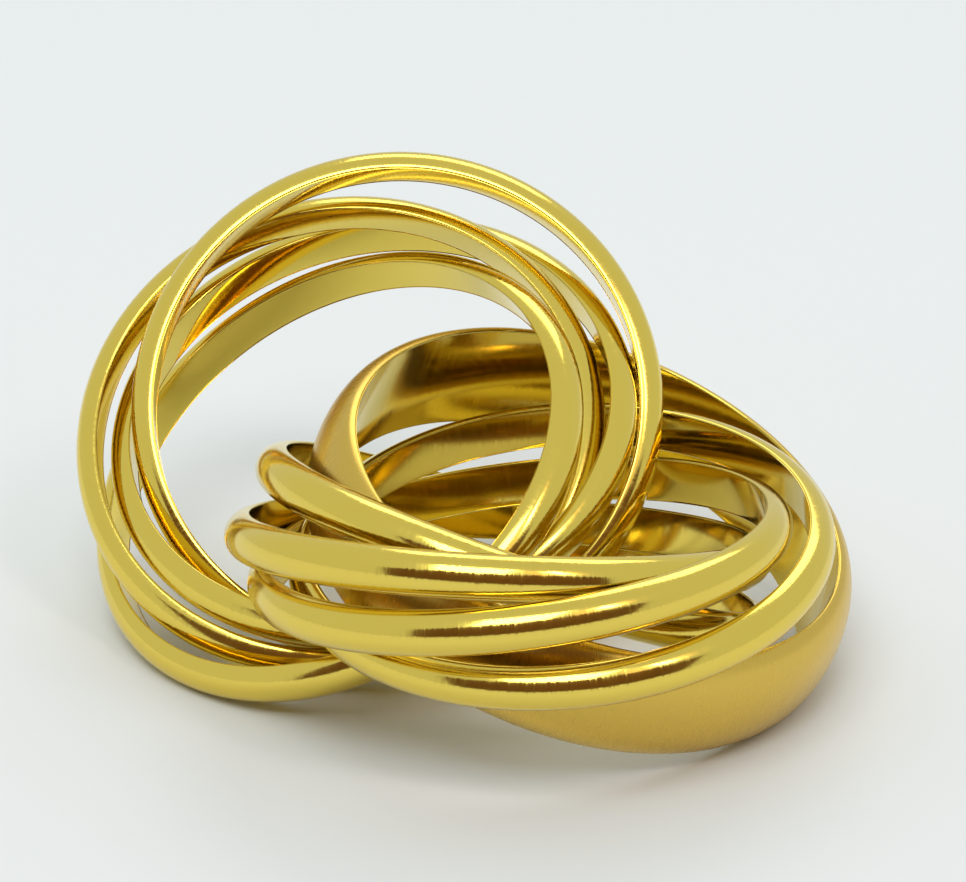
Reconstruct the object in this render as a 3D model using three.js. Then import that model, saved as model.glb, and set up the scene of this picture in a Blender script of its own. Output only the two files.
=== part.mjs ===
// Interlocking ring, millimetres, +Z up, lying on a table as it was put down.
//
// Nine plain gold bands, eight narrow and one broad, are linked, each one through every other, so
// that they roll over each other on the finger and can't be parted. Laid on a table they fall into
// two sheaves: four bands lean back in one, and five lie nearly flat in the other.
import * as THREE from 'three';

// One band of each size: bore is the radius of its inner edge, thickness goes from there to the
// crown of the dome, and width is measured along the finger.
const NARROW = { bore: 9.0, thickness: 0.85, width: 1.7 };
const BROAD = { bore: 9.2, thickness: 1.0, width: 4.4 };
const INNER_CROWN = 0.03;       // how far the inner face swells towards the finger
const DOME_STEPS = 6;           // facets over the dome
const TURN_STEPS = 60;          // facets round the band

const GOLD = { color: 0xd4b23c, metalness: 1.0, roughness: 0.15 };

// Where each band lies. x and y are its centre. Its axis stands upright at first: tip turns it
// about X, towards the front, and roll then turns it about Y, towards the right, in degrees.
// lift is the height of the band's lowest point above the table.
const BANDS = [
  { name: 'leaning_band_rear', size: NARROW, x: -2.3, y: 4.8, lift: 0, tip: 50, roll: -2.5 },
  { name: 'leaning_band_middle', size: NARROW, x: -3.2, y: 4.3, lift: 2.1, tip: 26.5, roll: -10 },
  { name: 'leaning_band_left', size: NARROW, x: -4.4, y: 4.2, lift: 0.4, tip: 38.5, roll: -7.5 },
  { name: 'leaning_band_front', size: NARROW, x: -4.5, y: 2.8, lift: 0, tip: 23.5, roll: -27 },
  { name: 'lying_band_top', size: NARROW, x: 1.4, y: -2.6, lift: 1.8, tip: -19.5, roll: 3 },
  { name: 'lying_band_crossing', size: NARROW, x: 2, y: -1.2, lift: 0, tip: -18.5, roll: 20 },
  { name: 'lying_band_second', size: NARROW, x: 2.2, y: -3.4, lift: 3.1, tip: -10, roll: -7 },
  { name: 'lying_band_third', size: NARROW, x: 3.7, y: -2.9, lift: 3.8, tip: 4.5, roll: -4.5 },
  { name: 'lying_band_bottom', size: BROAD, x: 4.4, y: -1, lift: 0, tip: 9.5, roll: 18.5 },
];

function radians(degrees) {
  return THREE.MathUtils.degToRad(degrees);
}

// The section of a band, closed on itself: radius across, width upwards.
function bandSection({ bore, thickness, width }) {
  const points = [];
  for (let step = 0; step <= DOME_STEPS; step += 1) {
    const turn = -Math.PI / 2 + (Math.PI * step) / DOME_STEPS;
    points.push(new THREE.Vector2(bore + thickness * Math.cos(turn), (width / 2) * Math.sin(turn)));
  }
  points.push(new THREE.Vector2(bore - INNER_CROWN, 0));
  points.push(points[0].clone());
  return points;
}

// How far a tilted band's centre stands above its lowest point.
function centreHeight({ bore, thickness, width }, tip, roll) {
  const upright = Math.cos(radians(tip)) * Math.cos(radians(roll));
  const sideways = Math.sqrt(1 - upright * upright);
  return bore * sideways + Math.hypot(thickness * sideways, (width / 2) * upright);
}

function makeBand({ name, size, x, y, lift, tip, roll }) {
  const geometry = new THREE.LatheGeometry(bandSection(size), TURN_STEPS);
  geometry.rotateX(Math.PI / 2);
  const band = new THREE.Mesh(geometry, new THREE.MeshStandardMaterial(GOLD));
  band.name = name;
  band.position.set(x, y, lift + centreHeight(size, tip, roll));
  band.rotation.set(radians(tip), radians(roll), 0, 'YXZ');
  return band;
}

const ring = new THREE.Group();
for (const row of BANDS) {
  ring.add(makeBand(row));
}

// The middle of the footprint goes to the origin, and the lowest point to the table.
ring.updateMatrixWorld(true);
const space = new THREE.Box3().setFromObject(ring, true);
const middle = space.getCenter(new THREE.Vector3());
ring.position.set(-middle.x, -middle.y, -space.min.z);

export default ring;
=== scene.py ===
# %% [markdown]
# # A rolling ring in polished gold
#
# The object is a finger ring made of several plain gold bands, linked through each other like the
# links of a chain. One band is broad and the others are narrow. Laid on a table the bands fall
# into two sheaves: one leans back, one lies nearly flat.
#
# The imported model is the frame. It says where every band lies. This script models one narrow band
# and one broad band finely, lays a copy in each band's place, and gives the copies a goldsmith's
# finish.

import math
import bpy
import numpy as np
from mathutils import Matrix, Vector


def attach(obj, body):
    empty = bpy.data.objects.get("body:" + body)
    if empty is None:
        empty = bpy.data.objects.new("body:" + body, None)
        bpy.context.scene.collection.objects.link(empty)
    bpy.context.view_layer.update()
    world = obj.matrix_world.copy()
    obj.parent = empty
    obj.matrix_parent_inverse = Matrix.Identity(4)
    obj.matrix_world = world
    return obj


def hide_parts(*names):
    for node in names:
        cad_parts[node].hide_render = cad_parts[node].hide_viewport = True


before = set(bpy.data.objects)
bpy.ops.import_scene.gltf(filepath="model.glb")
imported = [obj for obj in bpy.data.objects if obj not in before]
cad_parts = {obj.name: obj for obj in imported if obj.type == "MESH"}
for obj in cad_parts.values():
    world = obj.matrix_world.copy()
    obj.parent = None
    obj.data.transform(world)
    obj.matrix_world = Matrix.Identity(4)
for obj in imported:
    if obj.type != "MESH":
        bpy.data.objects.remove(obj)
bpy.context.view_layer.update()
bpy.ops.object.select_all(action="DESELECT")
print("bands in the frame:", sorted(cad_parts))

# %% [markdown]
# Every size below is a real one. A jeweller thinks in millimetres and Blender in metres, so one
# number turns the first into the second. A screen colour is written as a hex value, and it has to
# be made linear before the renderer can use it.

# %% Millimetres and colours
MM = 0.001
FULL_YELLOW = "EBD15F"      # 18 carat gold, a slightly green yellow
SHADE_DARKENED_YELLOW = "DDBB57"      # the same gold, painted darker and warmer as shade: the broad band mirrors a shaded table
TABLE_WHITE = "E2E7E8"


def linear(hex_colour):
    """A screen colour such as "D4AD45" as the linear colour that a shader wants."""
    channels = [int(hex_colour[i:i + 2], 16) / 255 for i in (0, 2, 4)]
    return [c / 12.92 if c <= 0.04045 else ((c + 0.055) / 1.055) ** 2.4 for c in channels] + [1]


for colour in (FULL_YELLOW, SHADE_DARKENED_YELLOW, TABLE_WHITE):
    print(colour, "in linear light:", [round(c, 3) for c in linear(colour)])

# %% [markdown]
# The camera comes first, because it decides what has to look right. It stands a little above the
# table, about a fifth of a metre away, and its lens is long, so the bands show almost no
# perspective. The lens is worked out from how many pixels a millimetre takes up in the picture,
# which is easier to measure than an angle of view.

# %% Camera
LOOK_AT = Vector((0.83, 5.5, 6.0)) * MM
CAMERA_HEIGHT = math.radians(25.5)      # how far it looks down
CAMERA_DISTANCE = 216 * MM
PIXELS_PER_MM = 26.85                   # at the point that it looks at
PICTURE_WIDTH = 966                     # pixels
SENSOR_WIDTH = 36                       # mm

camera = bpy.data.objects.new("camera", bpy.data.cameras.new("camera"))
bpy.context.scene.collection.objects.link(camera)
back = Vector((0, -math.cos(CAMERA_HEIGHT), math.sin(CAMERA_HEIGHT)))
camera.location = LOOK_AT + back * CAMERA_DISTANCE
camera.rotation_euler = (math.pi / 2 - CAMERA_HEIGHT, 0, 0)
camera.data.sensor_width = SENSOR_WIDTH
camera.data.lens = PIXELS_PER_MM * (CAMERA_DISTANCE / MM) * SENSOR_WIDTH / PICTURE_WIDTH
camera.data.clip_start = 10 * MM
camera.data.clip_end = 10
bpy.context.scene.camera = camera
bpy.context.scene.view_settings.view_transform = "Standard"
print("lens, mm:", round(camera.data.lens, 1))

# %% [markdown]
# A band's section is a D: a domed back that faces outwards, and an inner face that is only just
# swollen, which jewellers call a comfort fit. The goldsmith draws D-shaped wire, bends it round,
# solders it and turns it true. A torus that is squeezed afterwards would do for a rough model,
# but its rims would be soft. Here a circle stands for the wire's section. Its outer half is
# stretched to the dome, its inner half is pressed nearly flat, and the spin tool bends it round,
# so the section stays exact and the two rims stay crisp.
#
# Real rims are crisp but never razor-sharp: polishing takes the edge off. A narrow bevel catches
# the thin line of light that shows there.

# %% How to bend a band
INNER_CROWN = 0.03 * MM         # how far the inner face swells
EDGE_ROUNDING = 0.07 * MM       # what polishing takes off the rims
EDGE_STEPS = 4
SECTION_POINTS = 40
TURN_STEPS = 288
TINY = 0.001 * MM


def select_points(obj, wanted):
    """Selects just the points that wanted says yes to, and leaves edit mode on."""
    bpy.ops.mesh.select_all(action="DESELECT")
    bpy.ops.object.mode_set(mode="OBJECT")
    for point in obj.data.vertices:
        point.select = wanted(point.co)
    bpy.ops.object.mode_set(mode="EDIT")


def on_a_rim(co, bore_radius, width):
    """Whether a point of a band lies on the line where its dome meets its inner face."""
    return (abs(abs(co.z) - width / 2) < TINY
            and abs(math.hypot(co.x, co.y) - bore_radius) < TINY)


def bend_band(name, bore_radius, thickness, width):
    """One band that stands round the Z axis, its middle at the origin. Sizes in metres."""
    bpy.ops.mesh.primitive_circle_add(
        vertices=SECTION_POINTS, radius=width / 2, fill_type="NOTHING",
        location=(bore_radius, 0, 0), rotation=(math.pi / 2, 0, 0))
    band = bpy.context.object
    band.name = name
    bpy.ops.object.transform_apply(location=True, rotation=True, scale=True)
    bpy.ops.object.mode_set(mode="EDIT")
    bpy.ops.mesh.select_mode(type="VERT")
    # The section: dome outwards, nearly flat inwards
    middle = (bore_radius, 0, 0)
    select_points(band, lambda co: co.x > bore_radius + TINY)
    bpy.ops.transform.resize(value=(thickness / (width / 2), 1, 1), center_override=middle)
    select_points(band, lambda co: co.x < bore_radius - TINY)
    bpy.ops.transform.resize(value=(INNER_CROWN / (width / 2), 1, 1), center_override=middle)
    # Bent round and soldered
    bpy.ops.mesh.select_all(action="SELECT")
    bpy.ops.mesh.spin(steps=TURN_STEPS, angle=2 * math.pi, center=(0, 0, 0), axis=(0, 0, 1))
    bpy.ops.mesh.select_all(action="SELECT")
    bpy.ops.mesh.remove_doubles(threshold=TINY)
    bpy.ops.mesh.normals_make_consistent(inside=False)
    # Rims rounded
    bpy.ops.mesh.select_mode(type="EDGE")
    bpy.ops.mesh.select_all(action="DESELECT")
    bpy.ops.object.mode_set(mode="OBJECT")
    for edge in band.data.edges:
        ends = [band.data.vertices[i].co for i in edge.vertices]
        edge.select = all(on_a_rim(co, bore_radius, width) for co in ends)
    bpy.ops.object.mode_set(mode="EDIT")
    bpy.ops.mesh.bevel(offset=EDGE_ROUNDING, segments=EDGE_STEPS, profile=0.5, affect="EDGES")
    bpy.ops.object.mode_set(mode="OBJECT")
    bpy.ops.object.shade_smooth()
    return band


print("a section has", SECTION_POINTS, "points, and a turn has", TURN_STEPS, "steps")

# %% [markdown]
# The ring has bands of two sizes. Both fit the same finger, so their bores are nearly alike. The
# broad one is over twice as wide and a little thicker. Inside and outside get separate material
# slots, because the outside of a ring is worn and the inside isn't. Choosing the faces by their
# distance from the axis is quicker than picking them by hand, and it can't miss one.

# %% The two sizes of band
NARROW = {"bore_radius": 9.0 * MM, "thickness": 0.85 * MM, "width": 1.7 * MM}
BROAD = {"bore_radius": 9.2 * MM, "thickness": 1.0 * MM, "width": 4.4 * MM}
OUTSIDE, INSIDE = 0, 1

narrow = bend_band("narrow_band", **NARROW)
broad = bend_band("broad_band", **BROAD)
for band, size in ((narrow, NARROW), (broad, BROAD)):
    inner_limit = size["bore_radius"] + EDGE_ROUNDING / 4
    for face in band.data.polygons:
        inwards = math.hypot(face.center.x, face.center.y) < inner_limit
        face.material_index = INSIDE if inwards else OUTSIDE
    print(band.name, "has", len(band.data.polygons), "faces")

# %% [markdown]
# The finish has fine marks that run across the band, so the pattern has to follow the band and
# not the room. A UV map could carry it, but it would have a seam where its ends meet. Instead
# each point keeps, in millimetres, the place that it would have if the band were a thin hoop.
# That place goes right round the band with no seam.

# %% Each point's place on the hoop
HOOP_RADIUS = 9.5       # mm, about the middle of a band's thickness

for band in (narrow, broad):
    hoop = band.data.attributes.new(name="hoop_place", type="FLOAT_VECTOR", domain="POINT")
    for point, kept in zip(band.data.vertices, hoop.data):
        around = Vector((point.co.x, point.co.y, 0)).normalized() * HOOP_RADIUS
        kept.vector = (around.x, around.y, point.co.z / MM)
print("points with a hoop place:", len(narrow.data.vertices) + len(broad.data.vertices))

# %% [markdown]
# All the bands are 18 carat yellow gold, turned on a lathe, polished on a wheel and since then
# worn. The gloss is high, but the highlights are frayed: very fine marks run across the band,
# about twenty to the millimetre, and each scatters the light a little differently. Real ones are
# finer still, and these are as coarse as they need to be to show in the picture.
#
# A bump node could draw such marks too, but it tilts the surface every way, and only the tilt
# along the band's axis frays a highlight's edge. So here one noise does two things: it varies the
# roughness, and it tilts the surface's normal a little along the axis.

# %% How gold is made
MARKS_PER_MM = 20               # along the turn of the band
MARK_LENGTH = 2.0               # mm across the band, longer than a narrow one is wide
MARK_DETAIL = 1.5               # how much finer marks lie within each mark
NOISE_SPREAD = {"From_Min": 0.3, "From_Max": 0.7}      # nearly all of the noise lies in it


def add(tree, kind, links=(), **settings):
    """Adds a node with its settings, and links it: (its socket, other node, other's socket)."""
    node = tree.nodes.new(kind)
    for name, value in settings.items():
        if name in node.bl_rna.properties:
            setattr(node, name, value)
        else:
            node.inputs[name.replace("_", " ")].default_value = value
    for socket, other, out in links:
        tree.links.new(other.outputs[out], node.inputs[socket])
    return node


def make_gold(name, colour, glossiest, dullest, fray):
    """Yellow gold with fine marks across the band. fray is how far the marks tilt the surface."""
    gold = bpy.data.materials.new(name)
    gold.use_nodes = True
    tree = gold.node_tree
    shader = tree.nodes["Principled BSDF"]
    shader.inputs["Base Color"].default_value = linear(colour)
    shader.inputs["Metallic"].default_value = 1.0
    place = add(tree, "ShaderNodeAttribute", attribute_name="hoop_place")
    stretched = add(tree, "ShaderNodeMapping", [("Vector", place, "Vector")],
                    Scale=(MARKS_PER_MM, MARKS_PER_MM, 1 / MARK_LENGTH))
    marks = add(tree, "ShaderNodeTexNoise", [("Vector", stretched, "Vector")],
                Scale=1.0, Detail=MARK_DETAIL)
    gloss = add(tree, "ShaderNodeMapRange", [("Value", marks, "Fac")], **NOISE_SPREAD,
                To_Min=glossiest, To_Max=dullest)
    tree.links.new(gloss.outputs["Result"], shader.inputs["Roughness"])
    # Each mark leans a little towards one rim or the other, which frays the highlights' edges
    axis = add(tree, "ShaderNodeAttribute", attribute_name="band_axis")
    lean = add(tree, "ShaderNodeMapRange", [("Value", marks, "Fac")], **NOISE_SPREAD,
               To_Min=-fray, To_Max=fray)
    push = add(tree, "ShaderNodeVectorMath", [(0, axis, "Vector")], operation="SCALE")
    tree.links.new(lean.outputs["Result"], push.inputs["Scale"])
    surface = add(tree, "ShaderNodeNewGeometry")
    tilted = add(tree, "ShaderNodeVectorMath", [(0, surface, "Normal"), (1, push, "Vector")],
                 operation="ADD")
    level = add(tree, "ShaderNodeVectorMath", [(0, tilted, "Vector")], operation="NORMALIZE")
    tree.links.new(level.outputs["Vector"], shader.inputs["Normal"])
    return gold


print("marks to the millimetre:", MARKS_PER_MM)

# %% [markdown]
# The gold has three finishes. They differ in how glossy it is at its best and at its worst, and
# in how far the marks fray the light. The broad band's outside is also painted darker and warmer,
# as shade. One function makes all three, so what they share can't drift apart.

# %% The three finishes of the gold
# Narrow bands outside: full yellow with a high but worn gloss, so bright bars with frayed edges
polished = make_gold("polished_yellow_gold", FULL_YELLOW, glossiest=0.08, dullest=0.2, fray=0.035)
# Broad band outside: a touch less glossy, so it shows no sharp highlight, and painted darker and
# warmer as shade, for the shaded table that it mirrors
softer_and_shaded = make_gold("softer_and_shaded_yellow_gold", SHADE_DARKENED_YELLOW, glossiest=0.26, dullest=0.32, fray=0.004)
# Inner faces: never worn, so they mirror clearly and their marks hardly show
inner = make_gold("inner_yellow_gold", FULL_YELLOW, glossiest=0.08, dullest=0.14, fray=0.005)
for gold in (polished, softer_and_shaded, inner):
    print(gold.name, "uses", len(gold.node_tree.nodes), "nodes")

# %% [markdown]
# Each copy is laid where the frame's own band lies. The places could be typed in again, but then
# they could be wrong, so they are measured. The frame's band is round, so the mean of its points
# is its centre, and the direction in which its points spread least is its axis. How far they
# spread that way tells a narrow band from the broad one.

# %% Lay the bands
BETWEEN_SIZES = (NARROW["width"] + BROAD["width"]) / 2
MARKS_SHIFT = 10        # mm along the noise, so no two bands carry the same marks

for number, name in enumerate(sorted(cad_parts)):
    points = np.array([v.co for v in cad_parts[name].data.vertices])
    centre = Vector(points.mean(0))
    axis = Vector(np.linalg.svd(points - points.mean(0), full_matrices=False)[2][2])
    if axis.z < 0:
        axis.negate()
    width = np.ptp(points @ np.array(axis))
    master = broad if width > BETWEEN_SIZES else narrow
    band = master.copy()
    band.data = master.data.copy()
    band.name = band.data.name = "gold_" + name
    bpy.context.scene.collection.objects.link(band)
    place = Matrix.Translation(centre) @ axis.to_track_quat("Z", "Y").to_matrix().to_4x4()
    band.data.transform(place)
    for kept in band.data.attributes["hoop_place"].data:
        kept.vector.z += MARKS_SHIFT * number
    lean = band.data.attributes.new(name="band_axis", type="FLOAT_VECTOR", domain="POINT")
    lean.data.foreach_set("vector", [*axis] * len(band.data.vertices))
    # the broad band's outside gets the gold that is painted darker and warmer, as shade
    band.data.materials.append(softer_and_shaded if master is broad else polished)
    band.data.materials.append(inner)
    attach(band, "root")
    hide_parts(name)
    tip = math.degrees(axis.angle((0, 0, 1)))
    print(name, "is", round(width / MM, 2), "mm wide and leans", round(tip), "degrees")
bpy.data.objects.remove(narrow)
bpy.data.objects.remove(broad)

# %% [markdown]
# The ring lies on a pale, plain, matt table top. It isn't part of the object. It is far larger
# than the picture, so its edge never shows, and it has hardly any gloss, so the lamps don't
# leave a glare on it.

# %% Table
TABLE_SIZE = 3          # metres
MATT = 0.9              # roughness


def matt_paint(name, colour, gloss):
    """A plain matt surface for the things round the ring. gloss is how much of a sheen is left."""
    paint = bpy.data.materials.new(name)
    paint.use_nodes = True
    shader = paint.node_tree.nodes["Principled BSDF"]
    shader.inputs["Base Color"].default_value = linear(colour)
    shader.inputs["Roughness"].default_value = MATT
    shader.inputs["Specular IOR Level"].default_value = gloss
    return paint


bpy.ops.mesh.primitive_plane_add(size=TABLE_SIZE, location=(0, 0, 0))
table = bpy.context.object
table.name = "table"
table.data.materials.append(matt_paint("matt_white_laminate", TABLE_WHITE, gloss=0.2))
print("table, metres across:", TABLE_SIZE)

# %% [markdown]
# Gold shows what surrounds it, so the lights are chosen for their reflections. The room is pale.
# A window, high in front of the ring, gives the long bright bars. A small warm lamp to its
# right, with a glowing shade round it, gives the bright spots beside them. A second window
# behind the ring lights the inner faces. One even light would be simpler, but it would leave
# gold looking like yellow plastic.

# %% Light
LAMPS = (
    # name, degrees to the right, degrees up, metres away, metres wide and high, watts, colour
    ("window", -14, 59, 0.7, 0.35, 0.32, 1.8, "FFFFFF"),
    ("warm_lamp", 42, 53, 0.7, 0.08, 0.16, 0.36, "FFECE8"),
    ("lamp_shade", 38, 53, 0.75, 0.3, 0.24, 0.15, "FFB088"),
    ("back_window", 170, 45, 0.8, 0.5, 0.3, 0.9, "FFFFFF"),
)
ROOM_WHITE = "E2E6E6"
ROOM_STRENGTH = 0.9


def round_the_ring(turn, height, distance):
    """A place seen from the ring: degrees to the right of the camera, degrees up, metres."""
    turn, height = math.radians(turn), math.radians(height)
    level = math.cos(height)
    return Vector((level * math.sin(turn), -level * math.cos(turn), math.sin(height))) * distance


for name, turn, height, distance, across, upwards, power, colour in LAMPS:
    lamp = bpy.data.lights.new(name, "AREA")
    lamp.shape = "RECTANGLE"
    lamp.size = across
    lamp.size_y = upwards
    lamp.energy = power
    lamp.color = linear(colour)[:3]
    holder = bpy.data.objects.new(name, lamp)
    holder.location = round_the_ring(turn, height, distance)
    holder.rotation_euler = (holder.location - LOOK_AT).to_track_quat("Z", "Y").to_euler()
    bpy.context.scene.collection.objects.link(holder)
    print(name, "stands at", [round(v, 2) for v in holder.location])

world = bpy.data.worlds.new("room")
bpy.context.scene.world = world
world.use_nodes = True
world.node_tree.nodes["Background"].inputs["Color"].default_value = linear(ROOM_WHITE)
world.node_tree.nodes["Background"].inputs["Strength"].default_value = ROOM_STRENGTH

# %% [markdown]
# Polished metal in a pale room looks washed out, because nothing dark is mirrored in it. A
# jeweller who lights a ring therefore puts a dark card low in front of it. The gold mirrors the
# card as the brown streaks that make it look like metal. A darker room would give streaks too,
# but it would dull the whole ring. The card stands behind the camera, and it is hidden from the
# camera, so it doesn't show in views from the far side either.

# %% Dark card
CARD_PLACE = (0, 21, 0.6)               # degrees to the right, degrees up, metres away
CARD_WIDTH, CARD_HEIGHT = 1.3, 0.56     # metres
CARD_BROWN = "7A5238"

bpy.ops.mesh.primitive_plane_add(size=1, location=round_the_ring(*CARD_PLACE))
card = bpy.context.object
card.name = "dark_card"
card.scale = (CARD_WIDTH, CARD_HEIGHT, 1)
card.rotation_euler = card.location.to_track_quat("Z", "Y").to_euler()
card.visible_camera = False
card.data.materials.append(matt_paint("dark_brown_card", CARD_BROWN, gloss=0.5))
print("dark card, metres:", CARD_WIDTH, "by", CARD_HEIGHT)
